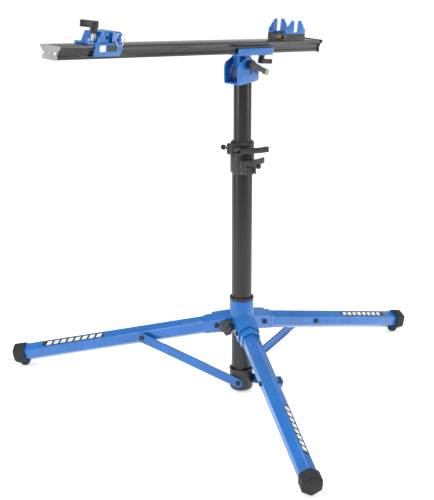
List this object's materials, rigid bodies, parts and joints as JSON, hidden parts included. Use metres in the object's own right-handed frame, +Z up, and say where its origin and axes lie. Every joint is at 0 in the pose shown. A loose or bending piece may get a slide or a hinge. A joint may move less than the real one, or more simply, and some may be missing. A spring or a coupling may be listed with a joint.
{
  "type": "bike repair stand",
  "caption": "Folding tripod repair stand with a telescoping mast and a tilting rail that holds a bicycle by its fork ends and bottom bracket.",
  "frame": {"origin": "on the mast axis at floor level", "axes": "+Z up along the mast; the rail runs along X in plan and hangs lower towards +X; -Y is the side with the tilt lever"},
  "size_m": [1.2998, 1.0976, 1.0439],
  "materials": {
    "blue_paint": "glossy blue paint",
    "anodised": "satin black anodised",
    "black_cast": "fine grained",
    "rubber": "matte",
    "steel": "zinc plated",
    "grey_plastic": "fine grained",
    "bronze": "worn"
  },
  "bodies": {
    "mast": {"lower_tube": "anodised", "foot_collar": "black_cast"},
    "hub": {"base_hub": "blue_paint", "hub_bushing": "black_cast", "hub_lock_stud": "steel"},
    "hub_knob": {"hub_lock_knob": "black_cast"},
    "leg_1": {"leg_tube_1": "blue_paint", "leg_saddle_1": "blue_paint", "leg_foot_1": "rubber", "brace_nut_1": "black_cast", "leg_pivot_bolt_1": "black_cast"},
    "brace_1": {"brace_1": "blue_paint", "brace_pivot_bolt_1": "black_cast", "brace_leg_bolt_1": "black_cast"},
    "leg_2": {"leg_tube_2": "blue_paint", "leg_saddle_2": "blue_paint", "leg_foot_2": "rubber", "brace_nut_2": "black_cast", "leg_pivot_bolt_2": "black_cast"},
    "brace_2": {"brace_2": "blue_paint", "brace_pivot_bolt_2": "black_cast", "brace_leg_bolt_2": "black_cast"},
    "leg_3": {"leg_tube_3": "blue_paint", "leg_saddle_3": "blue_paint", "leg_foot_3": "rubber", "brace_nut_3": "black_cast", "leg_pivot_bolt_3": "black_cast"},
    "brace_3": {"brace_3": "blue_paint", "brace_pivot_bolt_3": "black_cast", "brace_leg_bolt_3": "black_cast"},
    "mast_clamp": {"turn_collar": "black_cast", "height_band": "black_cast", "height_skewer": "steel", "turn_skewer": "steel"},
    "height_lever": {"height_lever": "black_cast"},
    "turn_lever": {"turn_lever": "black_cast"},
    "upper_mast": {"upper_tube": "anodised", "tube_guide": "rubber", "head_clevis": "blue_paint", "tilt_bolt": "steel"},
    "tilt_lever": {"tilt_lever": "black_cast"},
    "bracket": {"rail_bracket": "blue_paint", "rail_lock_stud": "steel"},
    "rail_lock_lever": {"rail_lock_lever": "black_cast"},
    "rail": {"rail": "anodised", "near_end_cap": "grey_plastic", "far_end_cap": "black_cast", "cap_screw_1": "steel", "cap_screw_2": "steel"},
    "carriage": {"carriage_base": "blue_paint", "fork_block": "blue_paint", "fork_jaw": "blue_paint", "carriage_stud": "steel"},
    "carriage_lever": {"carriage_lever": "black_cast"},
    "tether": {"tether_ring": "steel"},
    "cradle": {"cradle_block": "black_cast", "cradle_arm_front": "blue_paint", "cradle_arm_rear": "blue_paint"},
    "cradle_screw": {"cradle_lock_screw": "bronze"}
  },
  "joints": [
    {"name": "hub_slide", "type": "slide", "parent": "mast", "child": "hub", "axis": [0, 0, 1], "range_m": [0, 0.322]},
    {"name": "knob_turn", "type": "hinge", "parent": "hub", "child": "hub_knob", "pos_m": [-0.05245, 0.00762, 0.186], "axis": [-0.9896, 0.1438, 0], "range_deg": [-180, 180]},
    {"name": "leg_fold_1", "type": "hinge", "parent": "hub", "child": "leg_1", "pos_m": [-0.02166, 0.05434, 0.1797], "axis": [-0.9289, -0.3702, 0], "range_deg": [0, 68.79]},
    {"name": "brace_swing_1", "type": "hinge", "parent": "mast", "child": "brace_1", "pos_m": [0, 0, 0.03], "axis": [-0.9289, -0.3702, 0], "range_deg": [-52.63, 0]},
    {"name": "leg_fold_2", "type": "hinge", "parent": "hub", "child": "leg_2", "pos_m": [-0.03623, -0.04593, 0.1797], "axis": [0.7851, -0.6194, 0], "range_deg": [0, 68.79]},
    {"name": "brace_swing_2", "type": "hinge", "parent": "mast", "child": "brace_2", "pos_m": [0, 0, 0.03], "axis": [0.7851, -0.6194, 0], "range_deg": [-52.63, 0]},
    {"name": "leg_fold_3", "type": "hinge", "parent": "hub", "child": "leg_3", "pos_m": [0.05789, -0.00842, 0.1797], "axis": [0.1438, 0.9896, 0], "range_deg": [0, 68.79]},
    {"name": "brace_swing_3", "type": "hinge", "parent": "mast", "child": "brace_3", "pos_m": [0, 0, 0.03], "axis": [0.1438, 0.9896, 0], "range_deg": [-52.63, 0]},
    {"name": "mast_turn", "type": "hinge", "parent": "mast", "child": "mast_clamp", "pos_m": [0, 0, 0.6], "axis": [0, 0, 1], "continuous": true},
    {"name": "height_lever_swing", "type": "hinge", "parent": "mast_clamp", "child": "height_lever", "pos_m": [-0.04242, -0.0179, 0.648], "axis": [0, 0, 1], "range_deg": [-80, 0]},
    {"name": "turn_lever_swing", "type": "hinge", "parent": "mast_clamp", "child": "turn_lever", "pos_m": [-0.03583, -0.03073, 0.602], "axis": [0, 0, 1], "range_deg": [-95, 0]},
    {"name": "mast_height", "type": "slide", "parent": "mast_clamp", "child": "upper_mast", "axis": [0, 0, 1], "range_m": [-0.145, 0.2]},
    {"name": "tilt_lever_swing", "type": "hinge", "parent": "upper_mast", "child": "tilt_lever", "pos_m": [-0.005, -0.03, 0.859], "axis": [0, 1, 0], "range_deg": [-60, 60]},
    {"name": "rail_tilt", "type": "hinge", "parent": "upper_mast", "child": "bracket", "pos_m": [-0.005, 0, 0.859], "axis": [0, 1, 0], "range_deg": [-30, 30]},
    {"name": "rail_lock_swing", "type": "hinge", "parent": "bracket", "child": "rail_lock_lever", "pos_m": [0.07713, 0, 0.85804], "axis": [0.1354, 0, 0.9908], "range_deg": [-90, 90]},
    {"name": "rail_slide", "type": "slide", "parent": "bracket", "child": "rail", "axis": [0.9908, 0, -0.1354], "range_m": [-0.12, 0.12]},
    {"name": "carriage_slide", "type": "slide", "parent": "rail", "child": "carriage", "axis": [0.9908, 0, -0.1354], "range_m": [-0.095, 0.4]},
    {"name": "carriage_lever_swing", "type": "hinge", "parent": "carriage", "child": "carriage_lever", "pos_m": [-0.54844, -0.014, 1.0293], "axis": [0.1354, 0, 0.9908], "range_deg": [-90, 90]},
    {"name": "tether_swing", "type": "hinge", "parent": "carriage", "child": "tether", "pos_m": [-0.48535, -0.033, 1.00353], "axis": [0, 1, 0], "range_deg": [-45, 45]},
    {"name": "cradle_slide", "type": "slide", "parent": "rail", "child": "cradle", "axis": [0.9908, 0, -0.1354], "range_m": [-0.1, 0.07]},
    {"name": "cradle_screw_turn", "type": "hinge", "parent": "cradle", "child": "cradle_screw", "pos_m": [0.14092, -0.012, 0.90383], "axis": [0.9908, 0, -0.1354], "range_deg": [-180, 180]}
  ],
  "couplings": [
    {"joint": "leg_fold_1", "follows": "hub_slide", "rad_per_m": 3.7126},
    {"joint": "brace_swing_1", "follows": "hub_slide", "rad_per_m": -2.8367},
    {"joint": "leg_fold_2", "follows": "hub_slide", "rad_per_m": 3.7126},
    {"joint": "brace_swing_2", "follows": "hub_slide", "rad_per_m": -2.8367},
    {"joint": "leg_fold_3", "follows": "hub_slide", "rad_per_m": 3.7126},
    {"joint": "brace_swing_3", "follows": "hub_slide", "rad_per_m": -2.8367}
  ]
}
